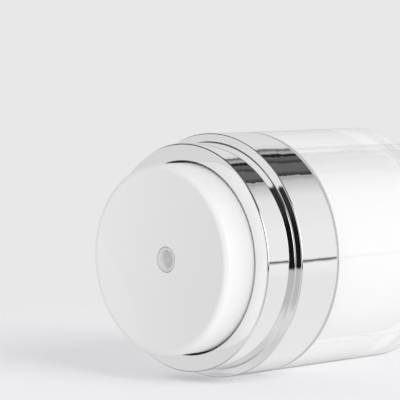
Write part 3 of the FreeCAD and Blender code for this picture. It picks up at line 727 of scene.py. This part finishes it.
def floorPaper(paper, centre):
    # Matt paper with an even glow, which dies away close under the chrome and the head: painted contact
    # shade. They mirror it only there, so they show this painted shade.
    material, tree, shader = newMaterial("floorPaper", paper["floorColor"])
    shader.inputs["Base Color"].default_value = (*paper["floorColor"], 1)
    shader.inputs["Roughness"].default_value = paper["floorRough"]
    shader.inputs["Specular IOR Level"].default_value = 0.0
    shader.inputs["Emission Color"].default_value = (*paper["floorGlow"], 1)
    place = addNode(tree, "ShaderNodeTexCoord").outputs["Object"]
    apart = addNode(tree, "ShaderNodeSeparateXYZ")
    tree.links.new(place, apart.inputs[0])
    # Painted contact shade: the glow is lowered where the paper lies close under the chrome and the head.
    near = addNode(tree, "ShaderNodeAmbientOcclusion", samples=paper["shadeSamples"])
    near.inputs["Distance"].default_value = paper["shadeReach"]
    closed = mathNode(tree, "SUBTRACT", 1.0, near.outputs["AO"])
    shade = mathNode(tree, "MULTIPLY", closed, smoothStep(tree, apart.outputs["Z"], paper["shadeFrom"]))
    loss = mathNode(tree, "MULTIPLY", shade, 1.0 - paper["shadeLevel"])
    tree.links.new(mathNode(tree, "SUBTRACT", 1.0, loss), shader.inputs["Emission Strength"])
    offset = addNode(tree, "ShaderNodeVectorMath", operation="DISTANCE")
    tree.links.new(place, offset.inputs[0])
    offset.inputs[1].default_value = tuple(centre)
    behind = addNode(tree, "ShaderNodeNewGeometry").outputs["Backfacing"]
    gone = mathNode(tree, "MAXIMUM", smoothStep(tree, offset.outputs["Value"], paper["fade"]), behind)
    bare = smoothStep(tree, mathNode(tree, "SUBTRACT", 1.0, shade), paper["shadeOpen"])
    mirrored = addNode(tree, "ShaderNodeLightPath").outputs["Is Glossy Ray"]
    seeThrough(tree, shader, mathNode(tree, "MAXIMUM", gone, mathNode(tree, "MULTIPLY", mirrored, bare)))
    return material


floor = floorSheet(stage)


# Studio: a pale tent over a pale table. A dark panel hangs overhead, and it is dark behind the camera.
# The three ramps have pairs of an angle in degrees and a brightness.

studio = dict(
    behind=[(-180, 0.86), (-175.9, 0.88), (-175.1, 0.03), (-173.4, 0.03), (-172.6, 0.9), (-157, 0.82),
            (-62, 0.84), (-35, 0.66), (-22, 0.3), (-12, 0.5), (0, 0.68), (50, 0.76), (60, 0.7), (61, 0.08),
            (63, 0.16), (68, 0.5), (70, 0.02), (73, 0.008), (74.5, 0.12), (79, 0.1), (80.5, 0.045),
            (82, 0.05), (84, 0.13), (94, 0.12), (96.5, 0.05), (98.5, 0.05), (99.3, 0.5), (101, 0.36),
            (106, 0.56), (122, 0.8), (160, 0.87), (180, 0.86)],
    beside=[(-180, 0.02), (-171, 0.02), (-169, 0.5), (-130, 0.53), (-116, 0.75), (-100, 0.72), (-85, 0.5),
            (-65, 0.36), (-40, 0.3), (-15, 0.85), (20, 0.9), (32, 0.1), (160, 0.1), (174, 0.02),
            (180, 0.02)],
    before=[(-180, 0.01), (-166.5, 0.01), (-165, 0.52), (-130, 0.54), (-116, 0.75), (-98, 0.75),
            (-78, 0.66), (-20, 0.7), (10, 0.7), (60, 0.8), (104, 0.84), (107, 0.03), (135, 0.03),
            (150, 0.008), (180, 0.008)],
    behindEdge=(-0.6, -0.5), beforeEdge=(0.5, 0.6), ambient=0.875, ambientLean=(0.16, -0.28, -0.19),
    clearShare=0.8, clearLevel=1.02, caughtLevel=0.54, frontEdge=(0.86, 0.93), frontLevel=0.8,
    backEdge=(-0.96, -0.9), backRise=(0.0, 0.05), backLevel=0.02, uneven=0.014, unevenScale=150.0,
    unevenDetail=2.0, unevenRise=(0.3, 0.6), lampAim=(-0.95, 0.3, -0.08), lampEdge=(0.9, 0.93),
    lampLevel=2.2,
)


def studioWorld(tent):
    # Brightness by the angle of a direction round the bottle's axis, as a ramp of strips. There are three
    # ramps: for what lies towards the base, beside the bottle, and towards the head.
    world = bpy.data.worlds.new("studioTent")
    scene.world = world
    world.use_nodes = True
    tree = world.node_tree
    tree.nodes.clear()
    direction = addNode(tree, "ShaderNodeTexCoord").outputs["Generated"]

    def along(axis):
        dot = addNode(tree, "ShaderNodeVectorMath", operation="DOT_PRODUCT")
        tree.links.new(direction, dot.inputs[0])
        dot.inputs[1].default_value = tuple(axis)
        return dot.outputs["Value"]

    def beyond(axis, edge):
        return smoothStep(tree, along(axis), edge)

    # The panel overhead hangs in folds, so its edges waver along the bottle's axis.
    angle = mathNode(tree, "ARCTAN2", along(up), along(across))
    share = mathNode(tree, "ADD", mathNode(tree, "DIVIDE", angle, 2 * math.pi), 0.5)
    folds = noiseNode(tree, along((0, 0, 1)), tent["unevenScale"], tent["unevenDetail"])
    waver = mathNode(tree, "MULTIPLY", mathNode(tree, "SUBTRACT", folds, 0.5), tent["uneven"])
    share = mathNode(tree, "ADD", share, mathNode(tree, "MULTIPLY", waver, beyond(up, tent["unevenRise"])))

    def strips(levels):
        ramp = addNode(tree, "ShaderNodeValToRGB")
        tree.links.new(share, ramp.inputs["Fac"])
        stops = ramp.color_ramp.elements
        while len(stops) < len(levels):
            stops.new(0.5)
        for stop, (degrees, level) in zip(stops, levels):
            stop.position = degrees / 360 + 0.5
            stop.color = (level, level, level, 1)
        return ramp.outputs["Color"]

    # What the chrome mirrors of the tent, with a pale front, a dark wall far behind and a lamp
    axis = (0, 0, 1)
    shown = mixColor(tree, beyond(axis, tent["behindEdge"]), strips(tent["behind"]), strips(tent["beside"]))
    shown = mixColor(tree, beyond(axis, tent["beforeEdge"]), shown, strips(tent["before"]))
    shown = mixColor(tree, beyond(axis, tent["frontEdge"]), shown, tent["frontLevel"])
    backWall = mathNode(tree, "SUBTRACT", 1.0, beyond(axis, tent["backEdge"]))
    backWall = mathNode(tree, "MULTIPLY", backWall, beyond(up, tent["backRise"]))
    shown = mixColor(tree, backWall, shown, tent["backLevel"])
    lamp = beyond(pictureDirection(tent["lampAim"]).normalized(), tent["lampEdge"])
    shown = mixColor(tree, lamp, shown, tent["lampLevel"])

    # What comes through the acrylic, what lights matt surfaces, and the even backdrop
    path = addNode(tree, "ShaderNodeLightPath")
    refracted = mathNode(tree, "GREATER_THAN", path.outputs["Transmission Depth"], 0.5)
    through = mathNode(tree, "MULTIPLY", refracted, tent["clearShare"])
    shown = mixColor(tree, through, shown, tent["clearLevel"])
    caught = mathNode(tree, "GREATER_THAN", path.outputs["Glossy Depth"], acrylicLook["trapped"])
    shown = mixColor(tree, mathNode(tree, "MULTIPLY", refracted, caught), shown, tent["caughtLevel"])
    scattered = mathNode(tree, "GREATER_THAN", path.outputs["Diffuse Depth"], 0.5)
    lean = along(pictureDirection(tent["ambientLean"]))
    shown = mixColor(tree, scattered, shown, mathNode(tree, "ADD", lean, tent["ambient"]))
    shown = mixColor(tree, path.outputs["Is Camera Ray"], shown, stage["background"])
    backdrop = addNode(tree, "ShaderNodeBackground")
    tree.links.new(shown, backdrop.inputs["Color"])
    output = addNode(tree, "ShaderNodeOutputWorld")
    tree.links.new(backdrop.outputs[0], output.inputs["Surface"])


studioWorld(studio)


# Camera, from the circles and edges of the picture, with its place and target in mm

shot = dict(place=(-218.68, -283.2, 413.28), target=(9.54, -7.91, 53.42), lens=207.52, sensor=36.0,
            clip=(0.01, 10.0))


def shotCamera(view):
    # It looks at the target and holds the picture's floor level.
    lens = bpy.data.cameras.new("shotCamera")
    lens.lens = view["lens"]
    lens.sensor_width = view["sensor"]
    lens.clip_start, lens.clip_end = view["clip"]
    camera = bpy.data.objects.new("shotCamera", lens)
    scene.collection.objects.link(camera)
    place = Vector(view["place"]) * mm
    ahead = (Vector(view["target"]) * mm - place).normalized()
    right = ahead.cross(up).normalized()
    turn = Matrix((right, right.cross(ahead), -ahead)).transposed()
    camera.matrix_world = Matrix.Translation(place) @ turn.to_4x4()
    scene.camera = camera


shotCamera(shot)


# Lamps: a softbox for the bottle at the camera's right, and one that throws the shadow on the floor

lampTarget = (0, 0, 34.0)
softbox = dict(aim=(-0.91, 0.49, 0.29), distance=0.7, size=0.4, watts=2.05)
floorLamp = dict(aim=(-0.95, 0.56, 0.06), distance=1.2, size=0.8, watts=12.4)


def squareLamp(name, setting, state):
    # A square lamp aimed at the bottle's middle. The floor is all that it lights or all that it leaves out.
    lamp = bpy.data.lights.new(name, "AREA")
    lamp.shape = "SQUARE"
    lamp.size = setting["size"]
    lamp.energy = setting["watts"]
    light = bpy.data.objects.new(name, lamp)
    scene.collection.objects.link(light)
    aim = pictureDirection(setting["aim"]).normalized()
    light.location = Vector(lampTarget) * mm + aim * setting["distance"]
    light.rotation_mode = "QUATERNION"
    light.rotation_quaternion = (-aim).to_track_quat("-Z", "Y")
    light.visible_camera = False
    light.visible_glossy = False
    lit = bpy.data.collections.new(name + "Lit")
    lit.objects.link(floor)
    lit.collection_objects[0].light_linking.link_state = state
    light.light_linking.receiver_collection = lit


squareLamp("softbox", softbox, "EXCLUDE")
squareLamp("floorLamp", floorLamp, "INCLUDE")
print("stage, studio and camera are set")
